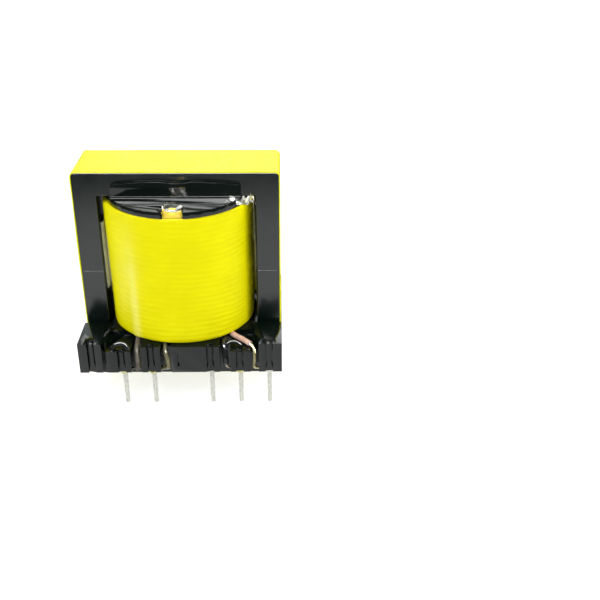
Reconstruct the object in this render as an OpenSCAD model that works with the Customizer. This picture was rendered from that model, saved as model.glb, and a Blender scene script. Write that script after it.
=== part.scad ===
// Upright ferrite transformer for a printed circuit board.
// A round winding stands on a two-row pin bobbin, inside two E-shaped core halves.
// +X runs along the pin rows, +Y from the front row to the back row and +Z up.
// The origin lies under the middle of the body, level with the pin tips.

/* [Core] */
// Width of the bare core across its outer legs
core_w = 33.6; // [33:0.1:42]
// Depth of the core from front to back
core_d = 11; // [9:0.1:12]
// Height of both core halves together
core_h = 35.1; // [29:0.1:45]
// Width of each outer leg
leg_w = 3.8; // [2.5:0.1:4]
// Thickness of each yoke
yoke_t = 3.9; // [3:0.1:6]
// Diameter of the round centre post
post_d = 10.8; // [8:0.1:11]
// Gap ground between the two centre posts
air_gap = 0.4; // [0.1:0.1:2]
// Radius of the core's outer corners
core_r = 0.7; // [0.3:0.1:1.5]

/* [Core tape] */
// Thickness of the tape band round the core
band_t = 0.2; // [0.1:0.05:0.4]
// Height of the lap end above the bottom of the core
lap_z = 9; // [6:0.5:20]

/* [Windings] */
// Wall of the bobbin tube
tube_wall = 0.8; // [0.6:0.1:1.2]
// Thickness of the primary winding
primary_t = 2.35; // [1.5:0.05:2.5]
// Thickness of the secondary winding
secondary_t = 1.9; // [1:0.05:2]
// Thickness of the auxiliary winding
auxiliary_t = 1.05; // [0.5:0.05:1.3]
// Thickness of each insulating tape between windings
insulation_t = 0.15; // [0.1:0.05:0.3]
// Thickness of the outer tape
outer_tape_t = 0.45; // [0.2:0.05:0.5]
// Height of the margin tape at each end of the windings
margin_h = 2; // [1:0.1:4]

/* [Bobbin] */
// Radius of the top flange
flange_r = 12.4; // [11:0.1:12.8]
// Thickness of the top flange
flange_t = 1.1; // [0.8:0.1:1.5]
// Thickness of the plate between the rails, under the winding
plate_t = 3.25; // [2.5:0.05:4]
// Width of the notch in the front of the top flange
notch_w = 3.2; // [2:0.1:5]
// Depth of that notch
notch_d = 2.9; // [2:0.1:3.5]
// Height of the lips beside the upper yoke at their ends
lip_h = 2.3; // [1:0.1:3]
// Extra height of the lips towards their middle
lip_rise = 0.5; // [0.2:0.1:1]
// Depth of the dip in the middle of each lip's top edge
lip_dip = 0.3; // [0.1:0.1:0.6]
// Thickness of the lips
lip_t = 0.7; // [0.5:0.1:1]
// Height of the step on the top flange, in front of each lip
step_h = 0.12; // [0.05:0.01:0.2]
// Distance of the step's edge from the middle
step_y = 8.9; // [8:0.1:9]
// Height and width of the bead along the foot of each lip
bead_w = 0.2; // [0.1:0.05:0.4]

/* [Rails] */
// Length of both pin rails
rail_l = 34.3; // [34:0.1:44]
// Distance over the outer faces of the rails
rail_over = 27.1; // [26.6:0.1:32]
// Thickness of the skirt beside the core
skirt_t = 1.65; // [1:0.05:2.2]
// Depth of the skirt below the comb
skirt_h = 3.65; // [2:0.05:5]
// Height of the end posts of the comb
comb_h = 5.6; // [5.4:0.1:8]
// Height of the second posts from each end
low_post_h = 4.1; // [3:0.1:4.5]
// Width of a post
post_w = 3.2; // [2.8:0.1:3.6]
// Width of the slits beside the end posts
end_slit_w = 1.45; // [1:0.05:1.8]
// Width of the tight slit at the left of the front comb
tight_slit_w = 0.7; // [0.5:0.1:1.4]
// How far the end slits lean towards the winding
slit_lean = 2.3; // [1:0.1:2.5]
// How much wider the end slits get on the way to the winding
slit_flare = 0.2; // [0:0.1:0.4]
// Width of the groove in front of each pin
groove_w = 1.25; // [0.8:0.05:1.4]
// Depth of that groove
groove_d = 1.05; // [0.6:0.05:1.3]
// Radius of the skirt's corners
skirt_r = 1.4; // [0.5:0.1:1.5]
// Length of the chamfer that marks pin 1
key_x = 2; // [1:0.1:2.1]
// Depth of the chamfer that marks pin 1
key_y = 1.5; // [1:0.1:3]

/* [Pins] */
// Distance between neighbouring pins
pitch = 5; // [5:0.01:5.08]
// Distance between the two pin rows
row_gap = 22.5; // [22:0.1:23]
// Diameter of a pin
pin_d = 0.8; // [0.6:0.05:1]
// Length of a pin below the skirt
pin_below = 4; // [3:0.1:5]
// Depth of a pin inside its post
pin_embed = 2.6; // [2:0.1:2.8]
// Thickness of the tin that dipping leaves on a pin below its joint
dip_t = 0.015; // [0.01:0.005:0.03]
// Height of a solder joint below the comb
solder_h = 1.3; // [0.8:0.1:2]
// Radius of a solder joint
solder_r = 1.05; // [0.8:0.05:1.2]

/* [Hidden] */
$fn = 96;
eps = 0.01;
core_lift = 1.2;    // tape band above the skirt's lower edge
seat_gap = 0.1;     // between the bobbin and the yokes
post_fit = 0.15;    // between the centre post and the tube
rail_gap = 0.65;    // between the core and the rails
layer_gap = 0.02;   // between wound layers, and round a pin in its hole
winding_gap = 0.05; // between the winding and the flanges
face_gap = 0.02;    // between pieces that bear on each other

z_seat = pin_below;
z_comb = z_seat + skirt_h;
z_core = z_seat + core_lift + band_t;
z_core_top = z_core + core_h;
z_plate = z_core + yoke_t + seat_gap;
z_wind = z_plate + plate_t;
z_flange_top = z_core_top - yoke_t - seat_gap;
z_flange = z_flange_top - flange_t;
window_x = core_w / 2 - leg_w;
rail_y0 = core_d / 2 + rail_gap;
rail_y1 = rail_over / 2;
skirt_y = rail_y0 + skirt_t;
slit_w = pitch - post_w;
mid_post_h = z_wind - z_comb;
root_d = pin_d - 2 * dip_t;
z_joint = z_comb - face_gap;
z_dip = z_joint - solder_h;

tube_ri = post_d / 2 + post_fit;
tube_ro = tube_ri + tube_wall;
primary_r = tube_ro + layer_gap;
inner_tape_r = primary_r + primary_t + layer_gap;
secondary_r = inner_tape_r + insulation_t + layer_gap;
outer_ins_r = secondary_r + secondary_t + layer_gap;
auxiliary_r = outer_ins_r + insulation_t + layer_gap;
cover_r = auxiliary_r + auxiliary_t + layer_gap;
winding_r = cover_r + outer_tape_t;
coil_z0 = z_wind + winding_gap + margin_h + layer_gap;
coil_z1 = z_flange - winding_gap - margin_h - layer_gap;

// Pins 1 to 7 run along the back rail from +X, and pins 8 to 14 along the front rail from -X.
live_pins = [1, 2, 3, 4, 5, 6, 9, 10, 12, 13, 14];
cut_pins = [7, 8, 11];
soldered_pins = [1, 2, 3, 4, 5, 6, 9, 10, 13, 14];
function pin_x(i) = i <= 7 ? (4 - i) * pitch : (i - 11) * pitch;
function pin_y(i) = i <= 7 ? row_gap / 2 : -row_gap / 2;
function post_h(k) = abs(k) == 3 ? comb_h : abs(k) == 2 ? low_post_h : mid_post_h;

// Point under the winding's edge, at an angle from the front and a distance outside the winding.
function beside(angle, out, z) =
    [(winding_r + out) * sin(angle), -(winding_r + out) * cos(angle), z];
start_y = skirt_y + 0.8; // where the leads in the straight slits begin

// Routes of the leads, from the winding to the pins. Each name ends in the number of its pin,
// but for the short black sleeve that lies on the post of pin 9.
route_9 = [[-7.5, -start_y, 12], [-7.5, -10.2, 11.8], [-7.5, -12, 10.9], [-7.5, -12.7, 9.6],
           [-7.7, -12.6, 8.2], [-8.3, -12.2, 7.2], [-9, -11.7, 7]];
route_10 = [[-2.8, -start_y, 12], [-2.8, -10.4, 11.9], [-2.7, -12.3, 11], [-2.5, -12.9, 9.4],
            [-2.6, -12.7, 8], [-3.2, -12.2, 7], [-4, -11.7, 6.9]];
route_13 = [[7.4, -start_y, 11.9], [7.3, -10.2, 12], [7.3, -11.7, 11.8], [7.5, -12.6, 10.4],
            [7.6, -12.8, 8.8], [8, -12.4, 7.4], [9, -11.7, 7]];
route_14 = [beside(45, 0.63, 12.24), [10.6, -10.6, 12.25], [12, -11.9, 12.24],
            [12.45, -12.7, 11.3], [12.4, -12.9, 9.6], [12.4, -12.9, 8.2], [12.9, -12.4, 7.1],
            [14, -11.7, 6.9]];
route_short = [beside(-43.5, 0.6, 12.35), [-9.7, -10.9, 12.6], [-10.3, -12, 12.6], [-11.3, -12.9, 12.35]];
route_1 = [beside(135, 0.63, 12.24), [10.6, 10.6, 12.25], [12, 11.9, 12.24], [12.5, 12.6, 11.2],
           [12.5, 12.6, 9.2], [12.9, 12.3, 7.6], [14, 11.7, 7]];
route_2 = [[12.1, 11.4, 8.8], [11.8, 11.6, 7.7], [11.3, 11.5, 7]];
route_4 = [[2.5, start_y, 12], [2.5, 10.2, 11.8], [2.5, 12, 10.9], [2.4, 12.6, 9.4],
           [2.2, 12.4, 8], [1.7, 12, 7.1], [1, 11.6, 7]];
route_6 = [[-7.5, start_y, 12], [-7.5, 10.2, 11.8], [-7.5, 12, 10.9], [-7.6, 12.6, 9.4],
           [-7.8, 12.4, 8], [-8.3, 12, 7.1], [-9, 11.6, 7]];

// ---- shared shapes ----

// Rectangle with its four corners rounded, centred on the origin.
module rounded_rect(w, h, r) {
    square([w - 2 * r, h], center = true);
    square([w, h - 2 * r], center = true);
    for (x = [-1, 1], y = [-1, 1])
        translate([x * (w / 2 - r), y * (h / 2 - r)]) circle(r);
}

module ring(r0, r1, z0, z1) {
    translate([0, 0, z0]) difference() {
        cylinder(h = z1 - z0, r = r1);
        translate([0, 0, -eps]) cylinder(h = z1 - z0 + 2 * eps, r = r0);
    }
}

// Extrudes an XZ outline over the depth from y0 to y1.
module along_y(y0, y1) {
    translate([0, y1, 0]) rotate([90, 0, 0]) linear_extrude(y1 - y0) children();
}

// ---- core ----

module core_outline(grow) {
    translate([0, z_core + core_h / 2])
        rounded_rect(core_w + 2 * grow, core_h + 2 * grow, core_r + grow);
}

// Lower half of the core: the upper half is the same shape turned over.
module core_half() {
    z_mid = z_core + core_h / 2;
    along_y(-core_d / 2, core_d / 2) difference() {
        core_outline(0);
        translate([-window_x, z_core + yoke_t]) square([2 * window_x, core_h]);
        translate([-core_w, z_mid]) square([2 * core_w, core_h]);
    }
    translate([0, 0, z_core + yoke_t - eps])
        cylinder(h = z_mid - air_gap / 2 - z_core - yoke_t + eps, d = post_d);
}

module core_lower() {
    color("#2b2e33") core_half();
}

module core_upper() {
    color("#2b2e33")
        translate([0, 0, 2 * z_core + core_h]) rotate([0, 180, 0]) core_half();
}

// Tape band round the core, with its lap end on the right side.
module core_tape() {
    lap_t = band_t / 2;
    color("#f2f21a") along_y(-core_d / 2, core_d / 2) {
        difference() {
            core_outline(band_t);
            core_outline(face_gap / 2);
        }
        translate([core_w / 2 + band_t - eps, z_core + lap_z])
            square([lap_t + eps, core_h - lap_z - 2 * core_r]);
    }
}

// Strips of insulating film on the inner sides of the legs. The right one is longer.
module side_strip() {
    strip_t = 0.15;
    strip_d = core_d - 0.6;
    color("#dfe6e2") {
        translate([-window_x + face_gap, -strip_d / 2, z_core + 0.35 * core_h])
            cube([strip_t, strip_d, 0.4 * core_h]);
        translate([window_x - face_gap - strip_t, -strip_d / 2, z_core + 0.25 * core_h])
            cube([strip_t, strip_d, 0.6 * core_h]);
    }
}

// ---- windings ----

module layer(r, t) {
    ring(r, r + t, coil_z0, coil_z1);
}

module primary_winding() {
    color("#b8692e") layer(primary_r, primary_t);
}

module inner_insulation() {
    color("#e8d94a") layer(inner_tape_r, insulation_t);
}

module secondary_winding() {
    color("#c4793a") layer(secondary_r, secondary_t);
}

module outer_insulation() {
    color("#e8d94a") layer(outer_ins_r, insulation_t);
}

module auxiliary_winding() {
    color("#a85d2a") layer(auxiliary_r, auxiliary_t);
}

module margin_tape(z) {
    color("#e6d81e") ring(primary_r, cover_r - layer_gap, z, z + margin_h);
}

module outer_tape() {
    color("#f0ea10") ring(cover_r, winding_r, z_wind + winding_gap, z_flange - winding_gap);
}

// ---- bobbin ----

// Lip that stands on the top flange beside the yoke. Its top edge rises to the middle.
module lip() {
    dip_w = 6;
    dip_r = (pow(dip_w / 2, 2) + pow(lip_dip, 2)) / (2 * lip_dip);
    half = sqrt(pow(flange_r, 2) - pow(core_d / 2 + seat_gap + lip_t, 2)) - 0.1;
    bow_r = (pow(half, 2) + pow(lip_rise, 2)) / (2 * lip_rise);
    corner = 0.8;
    y1 = -core_d / 2 - seat_gap;
    z_foot = z_flange_top + step_h;
    along_y(y1 - lip_t - bead_w, y1)
        translate([-half, z_foot - eps]) square([2 * half, bead_w + eps]);
    along_y(y1 - lip_t, y1) intersection() {
        difference() {
            translate([0, z_flange_top + lip_h + lip_rise - bow_r]) circle(bow_r, $fn = 720);
            translate([0, z_flange_top + lip_h + lip_rise - lip_dip + dip_r])
                circle(dip_r, $fn = 360);
        }
        union() {
            translate([-half, z_flange_top - eps]) square([2 * half, lip_h - corner + eps]);
            translate([-half + corner, z_flange_top])
                square([2 * (half - corner), lip_h + lip_rise]);
            for (s = [-1, 1])
                translate([s * (half - corner), z_flange_top + lip_h - corner]) circle(corner);
        }
    }
}

module top_flange() {
    difference() {
        translate([0, 0, z_flange]) cylinder(h = flange_t, r = flange_r);
        translate([-notch_w / 2, -flange_r - 1, z_flange - 1])
            cube([notch_w, notch_d + 1, flange_t + 2]);
    }
    for (a = [0, 180]) rotate(a) {
        lip();
        flange_step();
    }
}

// Raised strip of the top flange between a lip and the straight edge in front of it.
module flange_step() {
    back_y = core_d / 2 + seat_gap;
    intersection() {
        translate([0, 0, z_flange_top - eps]) cylinder(h = step_h + eps, r = flange_r);
        translate([-flange_r, -step_y, z_flange_top - 1])
            cube([2 * flange_r, step_y - back_y, 2]);
    }
}

// One straight wire slit of the comb, open to the outer face.
module slit(x, w) {
    translate([x - w / 2, -rail_y1 - 1, z_comb - 1])
        cube([w, rail_y1 + 1 - skirt_y, comb_h + 2]);
}

// Slit beside an end post: straight at the outer face, then leaning towards the winding.
// side is -1 on the left and 1 on the right.
module end_slit(side, w) {
    outer_x = 2.5 * pitch + end_slit_w / 2;
    inner_x = outer_x - w;
    bend_y = -rail_y1 + 2.3;
    translate([0, 0, z_comb - 1]) linear_extrude(comb_h + 2)
        polygon([[side * outer_x, -rail_y1 - 1], [side * outer_x, bend_y],
                 [side * (outer_x - slit_lean), -skirt_y],
                 [side * (inner_x - slit_lean - slit_flare), -skirt_y],
                 [side * inner_x, bend_y - 1], [side * inner_x, -rail_y1 - 1]]);
}

// Groove in front of a pin, with a rib on its back that widens at its foot.
module groove(x, h) {
    translate([x, 0, 0]) difference() {
        translate([-groove_w / 2, -rail_y1 - 1, z_comb - 1])
            cube([groove_w, groove_d + 1, comb_h + 2]);
        groove_rib(h);
    }
}

module groove_rib(h) {
    rib_w = groove_w * 0.48;
    along_y(-rail_y1 + 0.35, -rail_y1 + groove_d + 1) translate([0, z_comb])
        polygon([[-groove_w, -0.1], [groove_w, -0.1], [groove_w, 0.2], [groove_w / 2, 0.4],
                 [rib_w / 2, 1.7], [rib_w / 2, h], [-rib_w / 2, h], [-rib_w / 2, 1.7],
                 [-groove_w / 2, 0.4], [-groove_w, 0.2]]);
}

// Solid rail without its slits: the skirt, the comb block and its stepped top.
module rail_block() {
    translate([-rail_l / 2, -rail_y1, z_comb]) cube([rail_l, rail_y1 - rail_y0, comb_h]);
    translate([0, 0, z_seat]) linear_extrude(skirt_h + eps) difference() {
        translate([-rail_l / 2, -skirt_y]) square([rail_l, skirt_t]);
        for (s = [-1, 1]) translate([s * rail_l / 2, -skirt_y]) corner_waste(s);
    }
}

// What a rounded corner of the skirt leaves out.
module corner_waste(s) {
    difference() {
        square(2 * skirt_r, center = true);
        translate([-s * skirt_r, skirt_r]) circle(skirt_r);
    }
}

// Clears the space above each inner post down to its own height.
module post_steps() {
    for (k = [-2 : 2])
        translate([(k - 0.5) * pitch, -rail_y1 - 1, z_comb + post_h(k)])
            cube([pitch, rail_y1 + 1, comb_h]);
}

module pin_holes() {
    for (k = [-3 : 3])
        translate([k * pitch, -row_gap / 2, z_comb - eps])
            cylinder(h = pin_embed + eps, d = root_d + 2 * layer_gap);
}

module front_rail() {
    difference() {
        rail_block();
        post_steps();
        end_slit(-1, tight_slit_w);
        end_slit(1, end_slit_w);
        for (k = [-1.5, -0.5, 1.5]) slit(k * pitch, slit_w);
        for (k = [-3, -2, -1, 1, 2, 3]) groove(k * pitch, post_h(k) - 0.3);
        translate([-0.55, -rail_y1 - 1, z_comb + 1.2]) cube([0.3, 1.6, 2.4]);
        pin_holes();
    }
}

// Back rail, built facing -Y and turned round by the bobbin, so its X runs the other way.
module back_rail() {
    dip_h = 1.9;
    dip_d = 2;
    difference() {
        rail_block();
        post_steps();
        for (s = [-1, 1]) end_slit(s, end_slit_w);
        for (k = [-1.5, -0.5, 0.5, 1.5]) slit(k * pitch, slit_w);
        for (k = [-3 : 3]) {
            groove(k * pitch, post_h(k) - dip_h);
            translate([k * pitch - groove_w / 2, -rail_y1 - 1, z_comb + post_h(k) - dip_h])
                cube([groove_w, dip_d + 1, dip_h + 1]);
        }
        pin_holes();
        translate([-rail_l / 2, -rail_y1, z_comb - 1]) linear_extrude(comb_h + 2)
            polygon([[-1, -1], [key_x, -1], [key_x, 0], [0, key_y], [-1, key_y]]);
    }
}

// Plate between the rails: inside the window beside the legs, it bears the winding.
module base_plate() {
    plate_x = window_x - 0.15;
    translate([-plate_x, -skirt_y, z_plate]) cube([2 * plate_x, 2 * skirt_y, plate_t]);
}

module bobbin() {
    color("#17191b") difference() {
        union() {
            ring(tube_ri, tube_ro, z_plate + plate_t / 2, z_flange + flange_t / 2);
            top_flange();
            base_plate();
            front_rail();
            rotate(180) back_rail();
        }
        translate([0, 0, z_plate - 1]) cylinder(h = core_h, r = tube_ri);
        ring(tube_ro + 1, winding_r + 0.25, z_wind, z_wind + comb_h);
    }
}

// ---- pins and joints ----

// Pin with a chamfered tip. It is tinned up to its joint and bare from there up.
module pin(i) {
    tip = 0.2;
    r = pin_d / 2;
    z_end = z_comb + pin_embed - eps;
    color("#c9c9c4") translate([pin_x(i), pin_y(i), 0]) rotate_extrude()
        polygon([[0, 0], [r - tip, 0], [r, tip], [r, z_dip], [root_d / 2, z_dip],
                 [root_d / 2, z_end], [0, z_end]]);
}

module cut_pin(i) {
    color("#c9c9c4") translate([pin_x(i), pin_y(i), z_comb])
        cylinder(h = pin_embed - eps, d = root_d);
}

// Wire wrapped round the pin and soldered, just under the comb.
module solder(i) {
    r0 = root_d / 2 + layer_gap;
    color("#d8d8d2") translate([pin_x(i), pin_y(i), z_dip]) rotate_extrude()
        polygon([[r0, 0], [r0 + 0.2, solder_h * 0.05], [solder_r * 0.86, solder_h * 0.3],
                 [solder_r, solder_h * 0.58], [solder_r * 0.97, solder_h * 0.85],
                 [solder_r * 0.8, solder_h], [r0, solder_h]]);
}

// ---- glue and tape tongue ----

module dome(r, h) {
    ball_r = (r * r + h * h) / (2 * h);
    intersection() {
        translate([0, 0, h - ball_r]) sphere(ball_r, $fn = 48);
        cylinder(h = h + 1, r = r + 1);
    }
}

// Tape that comes up from the winding through the notch and is folded over it.
module tape_tongue() {
    t = 0.15;
    w = notch_w - 0.3;
    y0 = -flange_r + 0.35;
    color("#e0c81c") {
        translate([-w / 2, y0, z_flange + face_gap]) cube([w, t, flange_t]);
        translate([-w / 2, y0, z_flange_top + face_gap])
            cube([w, flange_r - 0.4 - step_y, t]);
    }
}

module glue_drop() {
    color("#e9e9dc")
        translate([0, -flange_r + 2, z_flange_top + 0.15 + 2 * face_gap]) dome(1.6, 1.1);
}

// Glue beads on the top flange, in front of and behind the ends of the lips.
module glue_beads() {
    z = z_flange_top + step_h + face_gap;
    y = core_d / 2 + seat_gap + lip_t + bead_w + face_gap;
    color("#e9e9dc") {
        translate([8.9, -y - 0.75, z]) dome(0.75, 0.6);
        translate([8, -y - 1.75, z]) dome(0.45, 0.35);
        for (x = [-8.9, 8.9]) translate([x, y + 0.7, z]) dome(0.7, 0.6);
    }
}

// ---- leads ----

function dot3(a, b) = a[0] * b[0] + a[1] * b[1] + a[2] * b[2];
function unit(v) = v / norm(v);

// Point of a smooth curve through a route, between its points i and i + 1.
function on_curve(p, i, t) =
    let (a = p[max(i - 1, 0)], b = p[i], c = p[i + 1], d = p[min(i + 2, len(p) - 1)])
    0.5 * ((2 * b) + (c - a) * t + (2 * a - 5 * b + 4 * c - d) * t * t
           + (3 * b - a - 3 * c + d) * t * t * t);
function smooth(p, steps) = concat(
    [for (i = [0 : len(p) - 2], s = [0 : steps - 1]) on_curve(p, i, s / steps)],
    [p[len(p) - 1]]
);
function heading(p, i) = unit(p[min(i + 1, len(p) - 1)] - p[max(i - 1, 0)]);
// The ring's first axis is carried from ring to ring, so the wire does not twist.
function carried(p, i, u) = let (h = heading(p, i)) unit(u - h * dot3(u, h));
function axes(p, i, u) = i >= len(p) ? []
    : let (v = carried(p, i, u)) concat([v], axes(p, i + 1, v));

// Points of the rings of radius r round a curve.
function rings(p, ax, r, sides) = [
    for (i = [0 : len(p) - 1]) let (u = ax[i], v = cross(heading(p, i), u))
        for (k = [0 : sides - 1])
            p[i] + r * (u * cos(k * 360 / sides) + v * sin(k * 360 / sides))
];
// A four-sided face as two triangles.
function halves(a, b, c, d) = [[a, b, c], [a, c, d]];
// Side faces between n rings, turned outwards or inwards.
function skin(n, sides, start, outward) = [
    for (i = [0 : n - 2], k = [0 : sides - 1])
        let (a = start + i * sides, m = (k + 1) % sides)
            each (outward ? halves(a + k, a + m, a + sides + m, a + sides + k)
                          : halves(a + sides + k, a + sides + m, a + m, a + k))
];
curve_up = [1, 0.3, 0.2];

// Solid round wire along a smooth curve through the route.
module wire(route, r, steps = 2, sides = 8) {
    p = smooth(route, steps);
    n = len(p);
    first = [for (k = [sides - 1 : -1 : 0]) k];
    last = [for (k = [0 : sides - 1]) (n - 1) * sides + k];
    polyhedron(rings(p, axes(p, 0, curve_up), r, sides),
               concat([first], skin(n, sides, 0, true), [last]));
}

// Hollow sleeve over the route's first points, up to the point named last.
module sleeve(route, last, r, bore, steps = 2, sides = 8) {
    p = smooth([for (i = [0 : last]) route[i]], steps);
    n = len(p);
    ax = axes(p, 0, curve_up);
    inner = n * sides;
    end = (n - 1) * sides;
    rims = [for (k = [0 : sides - 1]) let (m = (k + 1) % sides)
            each concat(halves(m, k, inner + k, inner + m),
                        halves(end + k, end + m, inner + end + m, inner + end + k))];
    polyhedron(concat(rings(p, ax, r, sides), rings(p, ax, bore, sides)),
               concat(skin(n, sides, 0, true), skin(n, sides, inner, false), rims));
}

module sleeve_9() { color("#c9c6bd") sleeve(route_9, 3, 0.55, 0.36); }
module lead_9() { color("#b98452") wire(route_9, 0.24); }
module black_sleeve_9() { color("#202224") wire(route_short, 0.55); }
module lead_10() { color("#c79468") wire(route_10, 0.42); }
module black_sleeve_13() { color("#202224") sleeve(route_13, 3, 0.55, 0.36); }
module lead_13() { color("#b98452") wire(route_13, 0.24); }
module salmon_sleeve_14() { color("#d98f7c") sleeve(route_14, 2, 0.47, 0.32); }
module lead_14() { color("#a39a55") wire(route_14, 0.23); }
module sleeve_1() { color("#c9c6bd") sleeve(route_1, 3, 0.47, 0.32); }
module lead_1() { color("#c8742a") wire(route_1, 0.21); }
module lead_2() { color("#c8742a") wire(route_2, 0.24); }
module sleeve_4() { color("#c9c6bd") sleeve(route_4, 3, 0.55, 0.36); }
module lead_4() { color("#c8742a") wire(route_4, 0.24); }
module sleeve_6() { color("#c9c6bd") sleeve(route_6, 3, 0.55, 0.36); }
module lead_6() { color("#c8742a") wire(route_6, 0.24); }

bobbin();
core_upper();
core_lower();
core_tape();
primary_winding();
inner_insulation();
secondary_winding();
outer_insulation();
auxiliary_winding();
margin_tape(z_wind + winding_gap);  // margin_tape_lower
margin_tape(z_flange - winding_gap - margin_h);  // margin_tape_upper
outer_tape();
side_strip();
tape_tongue();
glue_drop();
glue_beads();
for (i = live_pins) pin(i);
for (i = cut_pins) cut_pin(i);
for (i = soldered_pins) solder(i);
sleeve_9();
lead_9();
black_sleeve_9();
lead_10();
black_sleeve_13();
lead_13();
salmon_sleeve_14();
lead_14();
sleeve_1();
lead_1();
lead_2();
sleeve_4();
lead_4();
sleeve_6();
lead_6();
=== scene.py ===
import math

import bmesh
import bpy
import numpy as np
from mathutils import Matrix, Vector, noise


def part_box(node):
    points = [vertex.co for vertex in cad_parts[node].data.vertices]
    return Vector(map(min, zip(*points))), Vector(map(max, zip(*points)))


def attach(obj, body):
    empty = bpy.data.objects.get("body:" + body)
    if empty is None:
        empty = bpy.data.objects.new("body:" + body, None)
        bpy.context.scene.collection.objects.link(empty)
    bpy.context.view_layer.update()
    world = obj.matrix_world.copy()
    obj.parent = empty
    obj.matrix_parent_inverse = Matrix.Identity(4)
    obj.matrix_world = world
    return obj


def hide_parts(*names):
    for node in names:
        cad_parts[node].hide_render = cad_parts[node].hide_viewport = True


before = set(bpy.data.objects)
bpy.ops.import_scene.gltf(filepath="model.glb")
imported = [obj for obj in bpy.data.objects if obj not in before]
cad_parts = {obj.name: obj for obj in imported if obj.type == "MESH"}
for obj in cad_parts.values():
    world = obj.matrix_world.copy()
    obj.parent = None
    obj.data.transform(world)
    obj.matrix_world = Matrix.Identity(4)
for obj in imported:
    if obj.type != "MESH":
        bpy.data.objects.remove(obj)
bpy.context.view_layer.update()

MM = 0.001

# ---------------------------------------------------------------- measures taken from the frame

core_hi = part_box("core_upper")[1]
core_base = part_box("core_lower")[0].z
core_tall = core_hi.z - core_base
core_mid = (core_base + core_hi.z) / 2
# half the width of the core's window, and of the core with its tape
window_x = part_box("side_strip")[1].x + 0.02 * MM
band_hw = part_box("core_tape")[1].z - core_hi.z + core_hi.x
wind_lo, wind_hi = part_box("outer_tape")
wind_tall = wind_hi.z - wind_lo.z
wind_r = wind_hi.x
# underside of the pin rails, where the solder starts
comb_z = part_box("solder_1")[1].z
strip_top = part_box("side_strip")[1].z


# ---------------------------------------------------------------- mesh helpers

def new_object(name, data):
    obj = bpy.data.objects.new(name, data)
    bpy.context.scene.collection.objects.link(obj)
    return obj


def mesh_object(name, verts, faces, smooth=True):
    mesh = bpy.data.meshes.new(name)
    mesh.from_pydata([tuple(v) for v in verts], [], faces)
    mesh.update()
    if smooth:
        mesh.shade_smooth()
    return new_object(name, mesh)


def finish_piece(obj, mat, slot, *nodes):
    """Gives a piece its material, puts it on the body and lets it stand for its CAD nodes. Its slot is
    not used.
    """
    obj.data.materials.clear()
    obj.data.materials.append(mat)
    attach(obj, "root")
    if nodes:
        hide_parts(*nodes)
    return obj


def smooth_path(points, per_span=8):
    """Catmull-Rom curve through points in millimetres, as a list of vectors in metres."""
    p = [Vector(q) * MM for q in points]
    out = []
    for i in range(len(p) - 1):
        a, b, c, d = p[max(i - 1, 0)], p[i], p[i + 1], p[min(i + 2, len(p) - 1)]
        for s in range(per_span):
            t = s / per_span
            out.append(0.5 * (2 * b + (c - a) * t + (2 * a - 5 * b + 4 * c - d) * t * t
                              + (3 * b - a - 3 * c + d) * t ** 3))
    out.append(p[-1])
    return out


def path_frames(path):
    """One sideways axis pair for each point of a path, carried along without twisting."""
    n = len(path)
    heads = [(path[min(i + 1, n - 1)] - path[max(i - 1, 0)]).normalized() for i in range(n)]
    u = Vector((1, 0.3, 0.2))
    frames = []
    for h in heads:
        u = (u - h * u.dot(h)).normalized()
        frames.append((u.copy(), h.cross(u)))
    return frames


def tube_data(path, radius, sides=14):
    """Vertices and faces of a round bar along a path. The two end points come last."""
    last = len(path) - 1
    verts, faces = [], []
    for q, (u, v) in zip(path, path_frames(path)):
        for k in range(sides):
            a = 2 * math.pi * k / sides
            verts.append(q + (u * math.cos(a) + v * math.sin(a)) * radius)
    for i in range(last):
        for k in range(sides):
            m = (k + 1) % sides
            faces.append((i * sides + k, i * sides + m, (i + 1) * sides + m, (i + 1) * sides + k))
    for end, beyond in ((0, path[0] - path[1]), (last, path[-1] - path[-2])):
        verts.append(path[end] + beyond.normalized() * radius * 0.5)
        tip = len(verts) - 1
        for k in range(sides):
            tri = (end * sides + k, end * sides + (k + 1) % sides, tip)
            faces.append(tri if end else tri[::-1])
    return verts, faces


def joined(name, parts):
    """One mesh object from several (verts, faces) lists."""
    verts, faces = [], []
    for v, f in parts:
        base = len(verts)
        verts += list(v)
        faces += [tuple(base + i for i in face) for face in f]
    return mesh_object(name, verts, faces)


def sleeve_data(path, r, bore, sides=18):
    """A tube with a bore, open at both ends."""
    outer_v, outer_f = tube_data(path, r, sides)
    inner_v, inner_f = tube_data(path, bore, sides)
    base = len(path) * sides
    last = base - sides
    verts = outer_v[:base] + inner_v[:base]
    faces = outer_f[:last] + [tuple(base + i for i in f[::-1]) for f in inner_f[:last]]
    for k in range(sides):
        m = (k + 1) % sides
        faces.append((m, k, base + k, base + m))
        faces.append((last + k, last + m, base + last + m, base + last + k))
    return verts, faces


def grid_data(rows, wrap):
    """Faces over rows of points. wrap closes each row on itself."""
    n = len(rows[0])
    verts = [p for row in rows for p in row]
    faces = []
    for i in range(len(rows) - 1):
        for k in range(n if wrap else n - 1):
            m = (k + 1) % n
            faces.append((i * n + k, i * n + m, (i + 1) * n + m, (i + 1) * n + k))
    return verts, faces


def weigh_normals(mesh):
    """Points the shading normals by the larger faces, so a flat face stays flat beside a round edge."""
    sums = [Vector() for _ in mesh.vertices]
    for face in mesh.polygons:
        share = face.normal * (face.area / MM ** 2) ** 2
        for i in face.vertices:
            sums[i] += share
    mesh.normals_split_custom_set_from_vertices([s.normalized() for s in sums])


# edges that turn by more than this are rounded, those at a crisp height with a lower weight
SHARP_DEGREES = 35
CRISP_WEIGHT = 0.12


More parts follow.
